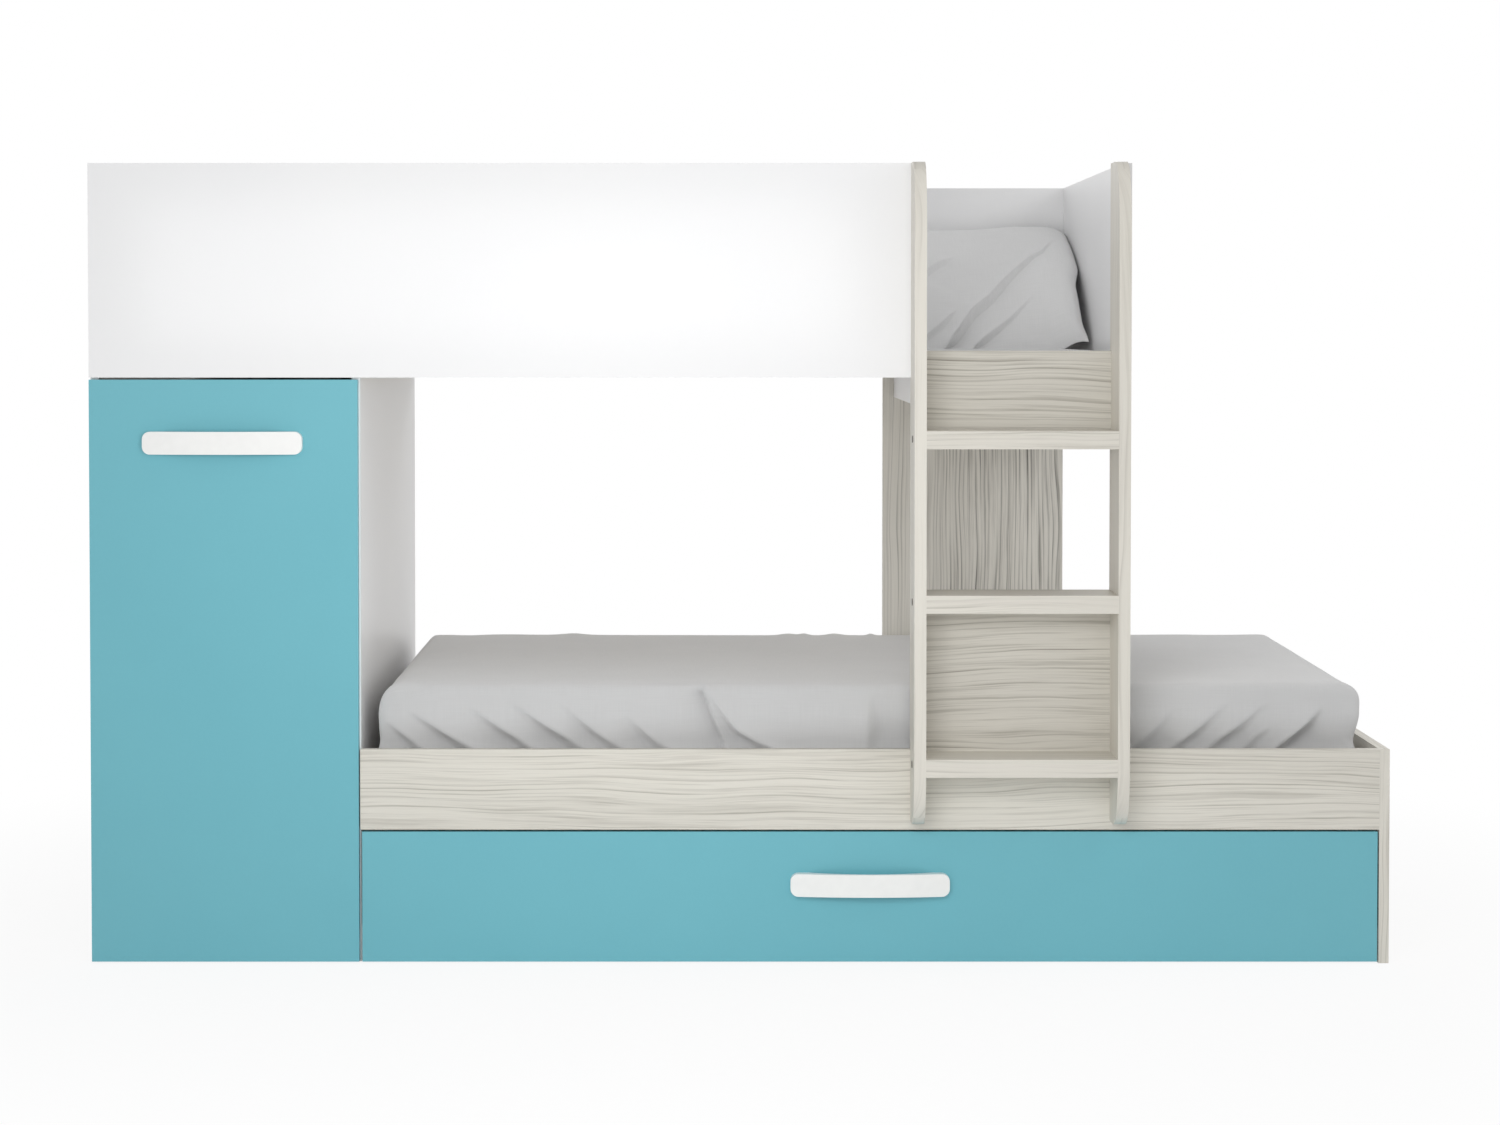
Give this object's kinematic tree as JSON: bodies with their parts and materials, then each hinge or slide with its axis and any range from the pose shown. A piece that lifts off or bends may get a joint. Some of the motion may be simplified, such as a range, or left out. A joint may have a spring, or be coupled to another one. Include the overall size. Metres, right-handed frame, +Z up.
{
  "type": "bunk bed",
  "caption": "Offset bunk bed with guard panels, front ladder, pull-out wardrobe and trundle bed on castors, slatted bases, mattresses and pillow.",
  "frame": {"origin": "on the floor, under the middle of the box round the whole bed", "axes": "+X along the bed towards the lower bed's foot, +Y to the wall side, +Z up"},
  "size_m": [2.435, 1.055, 1.5],
  "materials": {
    "wood_decor": "pale grey-beige wood-grain decor, satin",
    "white_board": "white satin coated board",
    "blue_board": "turquoise-blue satin coated board",
    "handle_white": "white, smooth",
    "mattress_fabric": "grey fitted cotton sheet",
    "pillow_fabric": "grey cotton pillowcase",
    "slat_pine": "bare planed softwood",
    "dowel_beech": "bare beech",
    "white_steel": "white powder coat",
    "zinc_steel": "zinc plated",
    "cap_plastic": "dark plastic cover cap",
    "wheel_plastic": "dark grey moulded",
    "chrome_tube": "bright chrome",
    "socket_plastic": "white moulded"
  },
  "bodies": {
    "frame": {"back_support_panel": "wood_decor", "bay_back_panel": "white_board", "bay_side_panel": "white_board", "cross_member": "white_board", "frame_dowels": "dowel_beech", "guard_panel": "white_board", "ladder_back_board": "wood_decor", "ladder_left_side": "wood_decor", "ladder_right_side": "wood_decor", "ladder_screw_caps": "cap_plastic", "ladder_screws": "zinc_steel", "ladder_step_lower": "wood_decor", "ladder_step_middle": "wood_decor", "ladder_step_upper": "wood_decor", "left_end_panel": "white_board", "lower_back_rail_left": "wood_decor", "lower_back_rail_right": "wood_decor", "lower_end_panel": "wood_decor", "lower_front_rail": "wood_decor", "lower_mattress": "mattress_fabric", "lower_slat_battens": "slat_pine", "lower_slats": "slat_pine", "pillow": "pillow_fabric", "steel_angles": "white_steel", "upper_back_panel": "white_board", "upper_end_panel": "white_board", "upper_front_rail": "wood_decor", "upper_mattress": "mattress_fabric", "upper_slats": "slat_pine"},
    "trundle": {"trundle_back": "white_board", "trundle_base_rails": "slat_pine", "trundle_castor_axles": "zinc_steel", "trundle_castor_forks": "zinc_steel", "trundle_dowels": "dowel_beech", "trundle_front": "blue_board", "trundle_handle": "handle_white", "trundle_handle_screws": "zinc_steel", "trundle_left_side": "white_board", "trundle_right_side": "white_board", "trundle_slats": "slat_pine"},
    "wardrobe": {"wardrobe_base": "white_board", "wardrobe_castor_axles": "zinc_steel", "wardrobe_castor_forks": "zinc_steel", "wardrobe_dowels": "dowel_beech", "wardrobe_front": "blue_board", "wardrobe_handle": "handle_white", "wardrobe_handle_screws": "zinc_steel", "wardrobe_hanging_rail": "chrome_tube", "wardrobe_partition": "white_board", "wardrobe_rail_sockets": "socket_plastic", "wardrobe_rear": "white_board", "wardrobe_shelf_lower": "white_board", "wardrobe_shelf_middle": "white_board", "wardrobe_shelf_upper": "white_board", "wardrobe_side": "white_board", "wardrobe_top": "white_board"},
    "trundle_front_wheels": {"trundle_front_wheels": "wheel_plastic"},
    "trundle_rear_wheels": {"trundle_rear_wheels": "wheel_plastic"},
    "wardrobe_front_wheels": {"wardrobe_front_wheels": "wheel_plastic"},
    "wardrobe_rear_wheels": {"wardrobe_rear_wheels": "wheel_plastic"}
  },
  "joints": [
    {"name": "trundle_slide", "type": "slide", "parent": "frame", "child": "trundle", "axis": [0, -1, 0], "range_m": [0, 0.88]},
    {"name": "wardrobe_slide", "type": "slide", "parent": "frame", "child": "wardrobe", "axis": [0, -1, 0], "range_m": [0, 0.8]},
    {"name": "trundle_front_roll", "type": "hinge", "parent": "trundle", "child": "trundle_front_wheels", "pos_m": [0.243, -0.3715, 0.025], "axis": [1, 0, 0], "range_deg": [0, 2020]},
    {"name": "trundle_rear_roll", "type": "hinge", "parent": "trundle", "child": "trundle_rear_wheels", "pos_m": [0.243, 0.4652, 0.025], "axis": [1, 0, 0], "range_deg": [0, 2020]},
    {"name": "wardrobe_front_roll", "type": "hinge", "parent": "wardrobe", "child": "wardrobe_front_wheels", "pos_m": [-0.965, -0.3318, 0.025], "axis": [1, 0, 0], "range_deg": [0, 1840]},
    {"name": "wardrobe_rear_roll", "type": "hinge", "parent": "wardrobe", "child": "wardrobe_rear_wheels", "pos_m": [-0.965, 0.4375, 0.025], "axis": [1, 0, 0], "range_deg": [0, 1840]}
  ],
  "couplings": [
    {"joint": "trundle_front_roll", "follows": "trundle_slide", "rad_per_m": 40},
    {"joint": "trundle_rear_roll", "follows": "trundle_slide", "rad_per_m": 40},
    {"joint": "wardrobe_front_roll", "follows": "wardrobe_slide", "rad_per_m": 40},
    {"joint": "wardrobe_rear_roll", "follows": "wardrobe_slide", "rad_per_m": 40}
  ]
}
